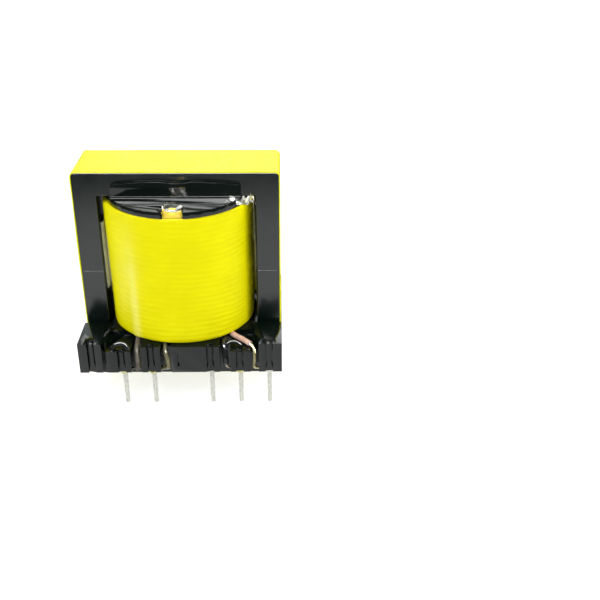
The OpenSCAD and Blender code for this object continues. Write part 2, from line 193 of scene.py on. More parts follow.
def mark_edges(mesh, crisp_z):
    """Gives the sharp edges of a mesh their bevel weight, a small one at the height crisp_z."""
    bm = bmesh.new()
    bm.from_mesh(mesh)
    bmesh.ops.remove_doubles(bm, verts=bm.verts, dist=0.001 * MM)
    bmesh.ops.dissolve_limit(bm, angle_limit=math.radians(1.0), verts=bm.verts, edges=bm.edges)
    weight = bm.edges.layers.float.new("bevel_weight_edge")
    for e in bm.edges:
        if len(e.link_faces) == 2 and e.calc_face_angle(0) > math.radians(SHARP_DEGREES):
            flat = crisp_z is not None and all(abs(v.co.z - crisp_z) < 0.3 * MM for v in e.verts)
            e[weight] = CRISP_WEIGHT if flat else 1.0
    bm.to_mesh(mesh)
    bm.free()


def softened(name, node, width, segments=2, crisp_z=None):
    """Copy of a CAD node with its sharp edges rounded. A piece with large flat faces names a height
    crisp_z, at which its edges stay crisper."""
    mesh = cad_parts[node].data.copy()
    mesh.name = name
    mesh.shade_smooth()
    mark_edges(mesh, crisp_z)
    obj = new_object(name, mesh)
    bevel = obj.modifiers.new("edges", "BEVEL")
    bevel.width = width
    bevel.segments = segments
    bevel.limit_method = "WEIGHT"
    bevel.harden_normals = crisp_z is None
    bpy.context.view_layer.update()
    obj.data = bpy.data.meshes.new_from_object(
        obj.evaluated_get(bpy.context.evaluated_depsgraph_get()))
    obj.modifiers.clear()
    if crisp_z is not None:
        weigh_normals(obj.data)
    return obj


def thicken(obj, thickness, offset=-1):
    """Gives a sheet its thickness."""
    film = obj.modifiers.new("film", "SOLIDIFY")
    film.thickness = thickness
    film.offset = offset
    return obj


def lump(x, y, z, scale, seed):
    """Smooth noise from -1 to 1 at a point given in metres. scale is its feature size in mm."""
    k = 1 / (scale * MM)
    return noise.noise(Vector((x * k + seed * 7.3, y * k - seed * 3.1, z * k + seed * 1.7)))


# ---------------------------------------------------------------- materials

def add(owner, kind, **inputs):
    """A new node of a material or world. An input's name has _ in place of each space."""
    node = owner.node_tree.nodes.new(kind)
    for key, value in inputs.items():
        node.inputs[key.replace("_", " ")].default_value = value
    return node


def link(owner, a, b):
    owner.node_tree.links.new(a, b)


def emptied(owner):
    """A material or world without its default nodes."""
    owner.use_nodes = True
    owner.node_tree.nodes.clear()
    return owner


def new_material(name):
    mat = emptied(bpy.data.materials.new(name))
    out = add(mat, "ShaderNodeOutputMaterial")
    bsdf = add(mat, "ShaderNodeBsdfPrincipled")
    link(mat, bsdf.outputs[0], out.inputs[0])
    return mat, bsdf


def place(mat, stretch=(1, 1, 1)):
    """Object coordinates in metres, stretched for anisotropic detail."""
    coord = add(mat, "ShaderNodeTexCoord")
    mapping = add(mat, "ShaderNodeMapping")
    mapping.inputs["Scale"].default_value = stretch
    link(mat, coord.outputs["Object"], mapping.inputs["Vector"])
    return mapping.outputs[0]


def noise_at(mat, vector, scale, detail):
    """Noise texture. scale is in features per metre."""
    tex = add(mat, "ShaderNodeTexNoise", Scale=scale, Detail=detail, Roughness=0.55)
    link(mat, vector, tex.inputs["Vector"])
    return tex.outputs["Fac"]


def ramp(mat, fac, stops):
    """Eased colour ramp over (position, colour) stops."""
    node = add(mat, "ShaderNodeValToRGB")
    node.color_ramp.interpolation = "EASE"
    for element, (at, colour) in zip(node.color_ramp.elements, stops):
        element.position = at
        element.color = (*colour, 1)
    link(mat, fac, node.inputs[0])
    return node.outputs[0]


def map_range(owner, value, from_min, from_max, to_min, to_max):
    node = add(owner, "ShaderNodeMapRange",
               From_Min=from_min, From_Max=from_max, To_Min=to_min, To_Max=to_max)
    link(owner, value, node.inputs["Value"])
    return node.outputs[0]


def spread(mat, fac, low, high):
    """Maps a 0.3 to 0.7 noise value to the range low to high."""
    return map_range(mat, fac, 0.3, 0.7, low, high)


def maths(owner, operation, a, b=None):
    node = add(owner, "ShaderNodeMath")
    node.operation = operation
    link(owner, a, node.inputs[0])
    if b is not None:
        link(owner, b, node.inputs[1])
    return node.outputs[0]


def axis_of(owner, vector, axis):
    """One coordinate, "X", "Y" or "Z", of a vector."""
    node = add(owner, "ShaderNodeSeparateXYZ")
    link(owner, vector, node.inputs[0])
    return node.outputs[axis]


def facing(mat, axis):
    """One coordinate of the direction that the surface faces."""
    return axis_of(mat, add(mat, "ShaderNodeNewGeometry").outputs["Normal"], axis)


def length_of(mat, vector):
    node = add(mat, "ShaderNodeVectorMath")
    node.operation = "LENGTH"
    link(mat, vector, node.inputs[0])
    return node.outputs["Value"]


def across(mat, value, start, end):
    """1 where the size of a value is at start, changing to 0 at end. It stays so beyond both."""
    return map_range(mat, maths(mat, "ABSOLUTE", value), start, end, 1.0, 0.0)


def mixed(owner, share, first, second):
    """The first shader where share is 0, the second where it is 1."""
    node = add(owner, "ShaderNodeMixShader")
    link(owner, share, node.inputs[0])
    link(owner, first, node.inputs[1])
    link(owner, second, node.inputs[2])
    return node.outputs[0]


def bump(mat, bsdf, heights, distance=0.1 * MM):
    """Chains several (height, strength) bumps into the shader's normal."""
    last = None
    for height, strength in heights:
        node = add(mat, "ShaderNodeBump", Strength=strength, Distance=distance)
        link(mat, height, node.inputs["Height"])
        if last is not None:
            link(mat, last, node.inputs["Normal"])
        last = node.outputs[0]
    link(mat, last, bsdf.inputs["Normal"])


# colour of the painted highlight on the winding's tape
PAINTED_HIGHLIGHT_COLOUR = (0.93, 0.89, 0.16, 1)


def film_material(name, dark, light, roughness, gloss, relief=1.0):
    """Yellow polyester tape: uneven colour, faint crinkles, and a painted highlight where the mesh's
    stretch attribute is set.
    """
    mat, bsdf = new_material(name)
    at = place(mat)
    wide = noise_at(mat, at, 130, 3)
    fine = noise_at(mat, at, 900, 5)
    lines = noise_at(mat, place(mat, (0.12, 0.12, 1)), 1500, 3)
    pale = add(mat, "ShaderNodeMix")
    pale.data_type = "RGBA"
    # the attribute named stretch holds the strength of the painted highlight
    lift = add(mat, "ShaderNodeAttribute")
    lift.attribute_name = "stretch"
    link(mat, lift.outputs["Fac"], pale.inputs[0])
    link(mat, ramp(mat, wide, [(0.25, dark), (0.75, light)]), pale.inputs[6])
    pale.inputs[7].default_value = PAINTED_HIGHLIGHT_COLOUR
    link(mat, pale.outputs[2], bsdf.inputs["Base Color"])
    link(mat, spread(mat, fine, roughness * 0.8, roughness * 1.3), bsdf.inputs["Roughness"])
    bsdf.inputs["Specular IOR Level"].default_value = gloss
    bump(mat, bsdf, [(wide, 0.25 * relief), (fine, 0.06 * relief), (lines, 0.12 * relief)])
    return mat


# heights between which the core's legs go from painted shade to their full reflection: lower down the
# reflection is weaker, standing in for the dark reflection of the pin rails
LEG_FOOT = (13.5 * MM, 16.5 * MM)
# distances from the winding's axis, and heights, beyond which the bobbin's up-facing tops keep their
# full reflection; inside them it is turned down as painted shade
RIM_START = (15.5 * MM, 18.5 * MM)
COMB_END = (18 * MM, 20 * MM)


def ferrite_material():
    """Black ferrite. Its reflection is turned down as painted shade on the side faces inside the
    window, and low on the legs.
    """
    mat, bsdf = new_material("ferrite")
    at = place(mat)
    wide = noise_at(mat, at, 110, 3)
    grain = noise_at(mat, at, 5200, 5)
    link(mat, ramp(mat, wide, [(0.3, (0.0015, 0.0050, 0.0040)), (0.7, (0.0040, 0.0085, 0.0075))]),
         bsdf.inputs["Base Color"])
    link(mat, spread(mat, noise_at(mat, at, 420, 4), 0.15, 0.24), bsdf.inputs["Roughness"])
    inside = across(mat, axis_of(mat, at, "X"), window_x + 0.1 * MM, window_x + 0.3 * MM)
    # painted shade: the side faces inside the window lose nearly all their reflection, which darkens
    # them as shade would
    wall_shade = maths(mat, "MULTIPLY", inside, across(mat, facing(mat, "X"), 0.9, 0.7))
    # painted shade: low on the legs the reflection drops to 0.35, standing in for the dark reflection
    # of the pin rails
    unshaded_share = maths(mat, "MULTIPLY", map_range(mat, wall_shade, 0.0, 1.0, 1.0, 0.04),
                  map_range(mat, axis_of(mat, at, "Z"), *LEG_FOOT, 0.35, 1.0))
    link(mat, map_range(mat, unshaded_share, 0.0, 1.0, 0.0, 0.9), bsdf.inputs["Specular IOR Level"])
    bump(mat, bsdf, [(wide, 0.08), (grain, 0.02)])
    return mat


def phenolic_material():
    """Black moulded phenolic. Its reflection is turned down as painted shade on the up-facing tops
    under the winding.
    """
    mat, bsdf = new_material("black_phenolic")
    at = place(mat)
    wide = noise_at(mat, at, 160, 3)
    grain = noise_at(mat, at, 3800, 4)
    link(mat, ramp(mat, wide, [(0.3, (0.0015, 0.0045, 0.0030)), (0.7, (0.0045, 0.0080, 0.0065))]),
         bsdf.inputs["Base Color"])
    link(mat, spread(mat, noise_at(mat, at, 600, 4), 0.05, 0.11), bsdf.inputs["Roughness"])
    # painted shade: up-facing tops near the axis and low down reflect little, which darkens them as the
    # shade under the winding would
    outside = map_range(mat, length_of(mat, place(mat, (1, 1, 0))), *RIM_START, 0.0, 1.0)
    high = map_range(mat, axis_of(mat, at, "Z"), *COMB_END, 0.0, 1.0)
    side = map_range(mat, facing(mat, "Z"), 0.8, 0.4, 0.0, 0.8)
    shine = maths(mat, "MAXIMUM", maths(mat, "MAXIMUM", outside, high), side)
    link(mat, map_range(mat, shine, 0.0, 1.0, 0.06, 0.58), bsdf.inputs["Specular IOR Level"])
    bump(mat, bsdf, [(wide, 0.12), (grain, 0.03)])
    return mat


def metal_material(name, dark, light, rough, dents, metallic=1.0):
    """Tin, solder or wire with small dents and an uneven sheen."""
    mat, bsdf = new_material(name)
    at = place(mat)
    spots = noise_at(mat, at, 1500, 5)
    fine = noise_at(mat, place(mat, (1, 1, 0.15)), 5200, 4)
    bsdf.inputs["Metallic"].default_value = metallic
    link(mat, ramp(mat, spots, [(0.3, dark), (0.68, light)]), bsdf.inputs["Base Color"])
    link(mat, spread(mat, fine, rough * 0.7, rough * 1.5), bsdf.inputs["Roughness"])
    bump(mat, bsdf, [(spots, dents), (fine, dents * 0.6)], 0.05 * MM)
    return mat


def sleeve_material(name, dark, light, see_through, rough, gloss=0.5):
    """Cloudy plastic, for sleeves, enamel and strips. see_through goes from 0 to 1."""
    mat, bsdf = new_material(name)
    at = place(mat)
    cloud = noise_at(mat, at, 900, 4)
    link(mat, ramp(mat, cloud, [(0.3, dark), (0.7, light)]), bsdf.inputs["Base Color"])
    sheen = spread(mat, noise_at(mat, at, 3000, 4), rough * 0.7, rough * 1.4)
    link(mat, sheen, bsdf.inputs["Roughness"])
    bsdf.inputs["Transmission Weight"].default_value = see_through
    bsdf.inputs["IOR"].default_value = 1.45
    bsdf.inputs["Specular IOR Level"].default_value = gloss
    bump(mat, bsdf, [(cloud, 0.2)])
    return mat


def glue_material():
    mat, bsdf = new_material("clear_glue")
    at = place(mat)
    cloud = noise_at(mat, at, 700, 4)
    link(mat, ramp(mat, cloud, [(0.3, (0.92, 0.91, 0.82)), (0.7, (0.99, 0.99, 0.97))]),
         bsdf.inputs["Base Color"])
    link(mat, spread(mat, cloud, 0.01, 0.05), bsdf.inputs["Roughness"])
    bsdf.inputs["Transmission Weight"].default_value = 1.0
    bsdf.inputs["IOR"].default_value = 1.42
    bump(mat, bsdf, [(cloud, 0.08), (noise_at(mat, at, 2600, 4), 0.03)])
    return mat


FERRITE = ferrite_material()
PHENOLIC = phenolic_material()
WINDING_FILM = film_material("winding_film", (0.82, 0.76, 0.0005), (0.90, 0.84, 0.0015), 0.34, 0.07)
CORE_FILM = film_material("core_film", (0.86, 0.85, 0.004), (0.91, 0.91, 0.01), 0.3, 0.1, 0.3)
INNER_FILM = film_material("inner_film", (0.62, 0.52, 0.01), (0.8, 0.72, 0.03), 0.35, 0.1)
TINNED = metal_material("tinned_wire", (0.68, 0.69, 0.62), (0.71, 0.72, 0.65), 0.26, 0.005, 0.6)
SOLDER = metal_material("bright_solder", (0.62, 0.6, 0.52), (0.92, 0.91, 0.86), 0.16, 0.5)
COPPER = metal_material("copper_wire", (0.42, 0.17, 0.07), (0.78, 0.40, 0.2), 0.28, 0.3)
STRANDS = metal_material("fluxed_strands", (0.3, 0.27, 0.12), (0.74, 0.68, 0.4), 0.25, 0.4)
ORANGE = sleeve_material("orange_enamel", (0.55, 0.16, 0.02), (0.86, 0.40, 0.08), 0.0, 0.2)
CLEAR_SLEEVE = sleeve_material("milky_sleeve", (0.14, 0.12, 0.095), (0.28, 0.25, 0.20), 0.45, 0.38,
                               gloss=0.15)
TAN_SLEEVE = sleeve_material("tan_lead", (0.13, 0.11, 0.06), (0.24, 0.23, 0.11), 0.0, 0.25)
SALMON = sleeve_material("salmon_sleeve", (0.64, 0.35, 0.31), (0.76, 0.52, 0.46), 0.0, 0.3)
BLACK_SLEEVE = sleeve_material("black_sleeve", (0.008, 0.009, 0.01), (0.02, 0.022, 0.024), 0.0, 0.12)
STRIP_FILM = sleeve_material("pale_strip", (0.70, 0.74, 0.90), (0.86, 0.88, 0.98), 0.0, 0.12,
                             gloss=1.0)
OLIVE_FILM = sleeve_material("olive_strip", (0.16, 0.16, 0.07), (0.30, 0.30, 0.17), 0.0, 0.3)
DARK_FILM = sleeve_material("dark_strip", (0.012, 0.012, 0.008), (0.04, 0.04, 0.02), 0.0, 0.25)
FLUX_TIN = metal_material("fluxed_tin", (0.50, 0.46, 0.16), (0.80, 0.78, 0.50), 0.25, 0.3)
DULL_STRANDS = metal_material("dull_strands", (0.05, 0.045, 0.03), (0.5, 0.44, 0.36), 0.25, 0.4)
ORANGE_FILM = film_material("tongue_film", (0.80, 0.52, 0.03), (0.90, 0.70, 0.12), 0.3, 0.1)
GLUE = glue_material()


# ---------------------------------------------------------------- core and bobbin

finish_piece(softened("bobbin_body", "bobbin", 0.08 * MM), PHENOLIC, "bobbin", "bobbin")
for half in ("core_upper", "core_lower"):
    finish_piece(softened(half + "_body", half, 0.16 * MM, 3, core_mid),
                 FERRITE, "ferrite", half)


# ---------------------------------------------------------------- winding tape

# steps of the mesh round the winding and up it
AROUND, TALL = 480, 190
# the crease over the lead that leaves the winding at the lower left
CREASE_X = -7.45 * MM
# height of one turn of the winding that shows through
TURN_PITCH = 0.92 * MM
# direction, in degrees, of the bulge towards the left leg of the core
BULGE_AT, BULGE_WIDTH = 205, 20
# the painted highlight band at the left: its place at mid height, how far it leans, and its width
BAND_X, BAND_LEAN, BAND_WIDTH = -8.6 * MM, 1.2 * MM, 1.9 * MM
WIND_SHIFT = Vector((-0.12 * MM, 0, 0))


def bell(value, middle, width):
    """Bell curve: 1 at the middle and close to 0 two widths from it."""
    off = (value - middle) / width
    return math.exp(-off * off)


def clamped(value):
    return max(0.0, min(1.0, value))


def wind_share(z):
    """Share of the winding's height, from 0 at its lower edge to 1 at its upper edge."""
    return (z - wind_lo.z) / wind_tall


def winding_radius(angle, z):
    """Radius of the taped winding: turns that show through, soft bulges and the lead's crease."""
    x, y = math.cos(angle) * wind_r, math.sin(angle) * wind_r
    share = wind_share(z)
    r = wind_r - 0.12 * MM
    r += 0.09 * MM * lump(x, y, z, 7, 1)
    wander = 0.5 * lump(x, y, z, 9, 2) + 0.12 * lump(x, y, z, 2.5, 3)
    turn = math.sin(2 * math.pi * (z / TURN_PITCH + wander + 0.4 * math.cos(angle)))
    r += 0.028 * MM * turn * (0.5 + 0.5 * lump(x, y, z, 5, 4))
    r += 0.03 * MM * lump(x * 0.25, y * 0.25, z, 0.6, 5)
    if y < 0:
        r += 0.2 * MM * bell(x, CREASE_X, 0.6 * MM) * clamped((0.75 - share) / 0.5)
    r += (0.28 + 0.24 * share) * MM * bell(math.degrees(angle) % 360, BULGE_AT, BULGE_WIDTH)
    # the edges of the tape draw in a little
    from_edge = min(share, 1 - share) * wind_tall
    return r - 0.1 * MM * (1 - clamped(from_edge / (0.7 * MM))) ** 2


def painted_highlight_share(p):
    """Strength of the painted highlight at a point: over the lead's crease and in a soft band at the
    left.
    """
    if p.y > 0:
        return 0.0
    share = wind_share(p.z)
    crease = bell(p.x, CREASE_X, 0.65 * MM) * clamped((0.8 - share) / 0.5)
    band = bell(p.x, BAND_X - BAND_LEAN * (0.5 - share), BAND_WIDTH)
    band *= max(0.0, 1 - abs(share - 0.55) / 0.5)
    uneven = 0.7 + 0.3 * lump(p.x, p.y, p.z, 2.5, 41)
    return min(1.0, 0.75 * crease + 0.55 * band * uneven)


def around_points(radius_at, z_at):
    """Ring of points whose radius and height are functions of the angle."""
    ring = []
    for k in range(AROUND):
        a = 2 * math.pi * k / AROUND
        r = radius_at(a)
        ring.append(Vector((r * math.cos(a), r * math.sin(a), z_at(a))) + WIND_SHIFT)
    return ring


def edge_wave(angle):
    """Height that the edges of the tape wander by."""
    x, y = math.cos(angle) * wind_r, math.sin(angle) * wind_r
    return 0.06 * MM * lump(x, y, wind_lo.z, 6, 8)


def winding_tape():
    """The tape's outer face, with a short way in at its lower and upper edge."""
    inner = wind_r - 0.44 * MM
    rows = [around_points(lambda a: inner, lambda a: wind_lo.z)]
    for i in range(TALL + 1):
        z = wind_lo.z + wind_tall * i / TALL
        near_edge = abs(2 * i / TALL - 1)
        rows.append(around_points(lambda a: winding_radius(a, z),
                                  lambda a: z + edge_wave(a) * near_edge))
    rows.append(around_points(lambda a: inner, lambda a: wind_hi.z))
    verts, faces = grid_data(rows, True)
    obj = mesh_object("winding_tape", verts, faces)
    # the painted highlight's strength is stored in the attribute named stretch
    stretch = obj.data.attributes.new("stretch", "FLOAT", "POINT")
    stretch.data.foreach_set("value", [painted_highlight_share(v) for v in verts])
    return obj


finish_piece(winding_tape(), WINDING_FILM, "outer_tape", "outer_tape")


# ---------------------------------------------------------------- tape band round the core

CORNER_R = 0.7 * MM
CORNER_STEPS, FLAT_STEPS, DEPTH_STEPS, LAP_STEPS = 10, 26, 30, 40
LAP_START = core_base + 9 * MM
LAP_END = core_hi.z - 1.4 * MM


def direction(degrees):
    """Unit vector in the XZ plane."""
    a = math.radians(degrees)
    return Vector((math.cos(a), 0, math.sin(a)))


def band_outline(grow):
    """Closed outline of the core in XZ, grown outwards, as (point, outward normal) pairs."""
    radius = CORNER_R + grow
    x, z = core_hi.x + grow - radius, core_tall / 2 + grow - radius
    corners = [(Vector((x, 0, core_mid + z)), 0), (Vector((-x, 0, core_mid + z)), 90),
               (Vector((-x, 0, core_mid - z)), 180), (Vector((x, 0, core_mid - z)), 270)]
    out = []
    for n, (corner, turn) in enumerate(corners):
        for s in range(CORNER_STEPS + 1):
            nrm = direction(turn + 90 * s / CORNER_STEPS)
            out.append((corner + nrm * radius, nrm))
        start, nrm = out[-1]
        following, turn = corners[(n + 1) % 4]
        goal = following + direction(turn) * radius
        out += [(start.lerp(goal, s / FLAT_STEPS), nrm) for s in range(1, FLAT_STEPS)]
    return out


def core_band():
    """The tape's outer face, a little uneven, with its two edges turned in to the core."""
    inner, outer = band_outline(0.02 * MM), band_outline(0.2 * MM)
    rows = []
    for j in range(DEPTH_STEPS + 1):
        y = -core_hi.y + 2 * core_hi.y * j / DEPTH_STEPS
        row = []
        for p, nrm in outer:
            wide = 0.07 * lump(p.x, y, p.z, 6, 11)
            side = min(wide + 0.02 * lump(p.x, y, p.z, 1.5, 12), 0.06)
            bulge = (0.4 * wide - 0.03) * abs(nrm.z) + side * (1 - abs(nrm.z))
            row.append(Vector((p.x, y, p.z)) + nrm * bulge * MM)
        rows.append(row)
    front = [Vector((p.x, -core_hi.y, p.z)) for p, _ in inner]
    back = [Vector((p.x, core_hi.y, p.z)) for p, _ in inner]
    verts, faces = grid_data([back, *rows[::-1], front, back], True)
    return mesh_object("core_band", verts, faces)


def band_lap():
    """Last layer of the tape on the right side of the core, with its loose end low down."""
    x0 = band_hw + 0.02 * MM
    rows = []
    for i in range(LAP_STEPS + 1):
        z = LAP_START + (LAP_END - LAP_START) * i / LAP_STEPS
        lift = 0.05 * MM * math.exp(-(z - LAP_START) / (1.6 * MM))
        rows.append([Vector((x0 + lift + 0.015 * MM * lump(x0, y, z, 3, 13), y, z))
                     for y in np.linspace(-core_hi.y, core_hi.y, 15)])
    verts, faces = grid_data(rows, False)
    return thicken(mesh_object("core_band_lap", verts, faces), 0.05 * MM)


finish_piece(core_band(), CORE_FILM, "core_tape", "core_tape")
finish_piece(band_lap(), CORE_FILM, "core_tape")


# ---------------------------------------------------------------- pins, solder and leads

LIVE = (1, 2, 3, 4, 5, 6, 9, 10, 12, 13, 14)
CUT = (7, 8, 11)
SOLDERED = (1, 2, 3, 4, 5, 6, 9, 10, 13, 14)
FLUXED = (9, 10, 13)
COLLAR_R, COLLAR_TALL = 0.41 * MM, 1.28 * MM
COLLAR_STEPS, COLLAR_SIDES = 24, 40
WRAP_R, WRAP_PITCH = 0.78 * MM, 0.42 * MM


def pin_axis(i):
    lo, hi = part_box(f"pin_{i}")
    return (lo.x + hi.x) / 2, (lo.y + hi.y) / 2


def cad_material(node, mat):
    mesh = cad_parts[node].data
    mesh.materials.clear()
    mesh.materials.append(mat)


for i in LIVE:
    cad_material(f"pin_{i}", TINNED)
for i in CUT:
    cad_material(f"cut_pin_{i}", TINNED)


def collar_data(i, x, y):
    """Lumpy collar of solder on a pin, below the comb."""
    rows = []
    for j in range(COLLAR_STEPS + 1):
        t = j / COLLAR_STEPS
        z = comb_z - COLLAR_TALL * t
        swell = math.sin(math.pi * min(1.0, 0.18 + 0.82 * (1 - t) ** 1.1) * 0.98)
        row = []
        for k in range(COLLAR_SIDES):
            a = 2 * math.pi * k / COLLAR_SIDES
            px, py = math.cos(a), math.sin(a)
            turn = 0.07 * MM * math.sin(2 * math.pi * (t * 3.2) + a + i)
            r = COLLAR_R + 0.6 * MM * swell + turn * (1 - t)
            r += 0.16 * MM * lump(px * 0.8 * MM, py * 0.8 * MM, z, 0.8, i)
            r = max(r, COLLAR_R)
            row.append(Vector((x + px * r, y + py * r, z)))
        rows.append(row)
    return grid_data(rows[::-1], True)


def wrap_data(i, x, y):
    """Just over one turn of wire round a pin, half drowned in its solder."""
    coil = [Vector((x + WRAP_R * math.cos(a), y + WRAP_R * math.sin(a),
                    comb_z - 0.25 * MM - WRAP_PITCH * (a - i) / (2 * math.pi)))
            for a in np.linspace(i, i + 2.6 * math.pi, 36)]
    return tube_data(coil, 0.14 * MM, 8)


def solder_joint(i):
    x, y = pin_axis(i)
    return joined(f"solder_{i}_joint", [collar_data(i, x, y), wrap_data(i, x, y)])


for i in SOLDERED:
    finish_piece(solder_joint(i), FLUX_TIN if i in FLUXED else SOLDER, "solder", f"solder_{i}")

# Routes in millimetres. A number is the pin that a lead belongs to, a word is a black sleeve.
ROUTES = {
    9: [(-7.5, -8.6, 12), (-7.5, -10.2, 11.9), (-7.45, -12.2, 11.2), (-7.3, -12.9, 9.9),
        (-7.25, -12.95, 8.5), (-7.7, -12.7, 8.0), (-8.3, -12.2, 7.7), (-9, -11.7, 7.3)],
    10: [(-2.8, -8.6, 12), (-2.8, -10.4, 11.9), (-2.6, -12.5, 11.2), (-2.2, -13.1, 9.8),
         (-2.15, -13, 8.5), (-2.6, -12.3, 7.9), (-4, -11.7, 7.3)],
    13: [(7.4, -8.6, 11.9), (7.3, -10.2, 12), (7.3, -11.7, 11.8), (7.5, -12.6, 10.4),
         (7.6, -12.9, 9), (7.9, -12.6, 8.1), (9, -11.7, 7.4)],
    14: [(8.5, -8.3, 12.22), (9.4, -9.4, 12.24), (10.6, -10.6, 12.25), (11.8, -11.9, 12.2),
         (12.45, -12.7, 11.3), (12.45, -12.95, 9.6), (12.4, -12.95, 8.4), (12.9, -12.4, 7.8),
         (14, -11.7, 7.3)],
    "short": [(-12.1, -13.0, 10.2), (-11.7, -12.7, 11.7), (-10.8, -12.3, 12.55),
              (-9.6, -12.2, 12.5), (-8.9, -12.6, 11.7), (-8.75, -13.1, 10.6)],
    "arch": [(7.7, -12.6, 9.6), (7.5, -12.2, 11.3), (8.1, -11.7, 12.35), (9.3, -11.6, 12.5),
             (10.3, -12, 12.0)],
    1: [(8.5, 8.3, 12.22), (9.4, 9.4, 12.24), (10.6, 10.6, 12.25), (12, 11.9, 12.2),
        (12.5, 12.6, 11.2), (12.5, 12.6, 9.2), (12.9, 12.3, 7.6), (14, 11.7, 7)],
    2: [(12.1, 11.4, 8.8), (11.8, 11.6, 7.7), (11.3, 11.5, 7)],
    4: [(2.5, 8.6, 12), (2.5, 10.2, 11.8), (2.5, 12, 10.9), (2.4, 12.6, 9.4),
        (2.2, 12.4, 8), (1.7, 12, 7.1), (1, 11.6, 7)],
    6: [(-7.5, 8.6, 12), (-7.5, 10.2, 11.8), (-7.5, 12, 10.9), (-7.6, 12.6, 9.4),
        (-7.8, 12.4, 8), (-8.3, 12, 7.1), (-9, 11.6, 7)],
}


def wire_piece(name, key, r, mat, slot, *nodes):
    """Round wire of radius r, in millimetres, along a route."""
    return finish_piece(joined(name, [tube_data(smooth_path(ROUTES[key]), r * MM)]), mat, slot, *nodes)


def sleeve_piece(name, key, last, r, bore, mat, slot, node):
    """Sleeve along a route, from its first point to the one numbered last."""
    path = smooth_path(ROUTES[key][:last + 1])
    return finish_piece(joined(name, [sleeve_data(path, r * MM, bore * MM)]), mat, slot, node)


def twisted_piece(name, key, off, r, count, turns, mat, slot, node):
    """Several thin wires wound round one another along a route, each off mm from its middle."""
    path = smooth_path(ROUTES[key], 12)
    frames = path_frames(path)
    parts = []
    for c in range(count):
        strand = []
        for n, (p, (u, v)) in enumerate(zip(path, frames)):
            a = 2 * math.pi * (turns * n / (len(path) - 1) + c / count)
            strand.append(p + (u * math.cos(a) + v * math.sin(a)) * off * MM)
        parts.append(tube_data(strand, r * MM, 8))
    return finish_piece(joined(name, parts), mat, slot, node)


sleeve_piece("sleeve_9_tube", 9, 5, 0.46, 0.3, CLEAR_SLEEVE, "clear_sleeve", "sleeve_9")
wire_piece("lead_9_wire", 9, 0.22, DULL_STRANDS, "copper", "lead_9")
wire_piece("black_sleeve_9_tube", "short", 0.42, BLACK_SLEEVE, "black_sleeve", "black_sleeve_9")
wire_piece("lead_10_wire", 10, 0.41, TAN_SLEEVE, "pink_lead", "lead_10")
sleeve_piece("black_sleeve_13_tube", 13, 4, 0.5, 0.36, BLACK_SLEEVE, "black_sleeve", "black_sleeve_13")
wire_piece("black_arch_13", "arch", 0.3, BLACK_SLEEVE, "black_sleeve")
twisted_piece("lead_13_wire", 13, 0.14, 0.11, 3, 4, DULL_STRANDS, "copper", "lead_13")
sleeve_piece("salmon_sleeve_14_tube", 14, 3, 0.47, 0.32, SALMON, "salmon_sleeve", "salmon_sleeve_14")
twisted_piece("lead_14_strands", 14, 0.17, 0.12, 4, 5, STRANDS, "strands", "lead_14")
sleeve_piece("sleeve_1_tube", 1, 4, 0.47, 0.32, CLEAR_SLEEVE, "clear_sleeve", "sleeve_1")
twisted_piece("lead_1_wires", 1, 0.12, 0.12, 2, 3, ORANGE, "orange_wire", "lead_1")
twisted_piece("lead_2_wires", 2, 0.14, 0.13, 2, 1, ORANGE, "orange_wire", "lead_2")
sleeve_piece("sleeve_4_tube", 4, 3, 0.55, 0.36, CLEAR_SLEEVE, "clear_sleeve", "sleeve_4")
twisted_piece("lead_4_wires", 4, 0.14, 0.13, 2, 3, ORANGE, "orange_wire", "lead_4")
sleeve_piece("sleeve_6_tube", 6, 3, 0.55, 0.36, CLEAR_SLEEVE, "clear_sleeve", "sleeve_6")
twisted_piece("lead_6_wires", 6, 0.14, 0.13, 2, 3, ORANGE, "orange_wire", "lead_6")


# ---------------------------------------------------------------- inner pieces, glue and tongue

for node in ("primary_winding", "secondary_winding", "auxiliary_winding"):
    cad_material(node, COPPER)
for node in ("inner_insulation", "outer_insulation", "margin_tape_lower", "margin_tape_upper"):
    cad_material(node, INNER_FILM)


drop_lo, drop_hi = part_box("glue_drop")
drop = ((drop_lo + drop_hi) / 2).xy
bead_lo, bead_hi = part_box("glue_beads")
bead_x, bead_y, bead_z = bead_hi.x - 0.75 * MM, bead_hi.y - 0.7 * MM, bead_lo.z


def blob(centre, size_mm, seed, rough):
    """Lumpy drop that sits flat on the surface under its centre."""
    size = [s * MM for s in size_mm]
    bm = bmesh.new()
    bmesh.ops.create_icosphere(bm, subdivisions=4, radius=1)
    verts = []
    for v in bm.verts:
        p = v.co.copy()
        p *= 1 + rough * noise.noise(p * 1.7 + Vector((seed, -seed, seed * 0.5)))
        p.z = max(p.z, -0.02)
        verts.append(Vector((centre[0] + p.x * size[0], centre[1] + p.y * size[1],
                             centre[2] + p.z * size[2])))
    faces = [tuple(v.index for v in f.verts) for f in bm.faces]
    bm.free()
    return verts, faces


def corner_bead(side_x, side_y, offset, size, seed, rough):
    """Bead at an offset, in millimetres, from one corner of the top flange."""
    centre = (side_x * bead_x + offset[0] * MM, side_y * bead_y + offset[1] * MM,
              bead_z + offset[2] * MM)
    return blob(centre, size, seed, rough)


def glue_piece(name, node, parts):
    finish_piece(joined(name, parts), GLUE, "glue", node)


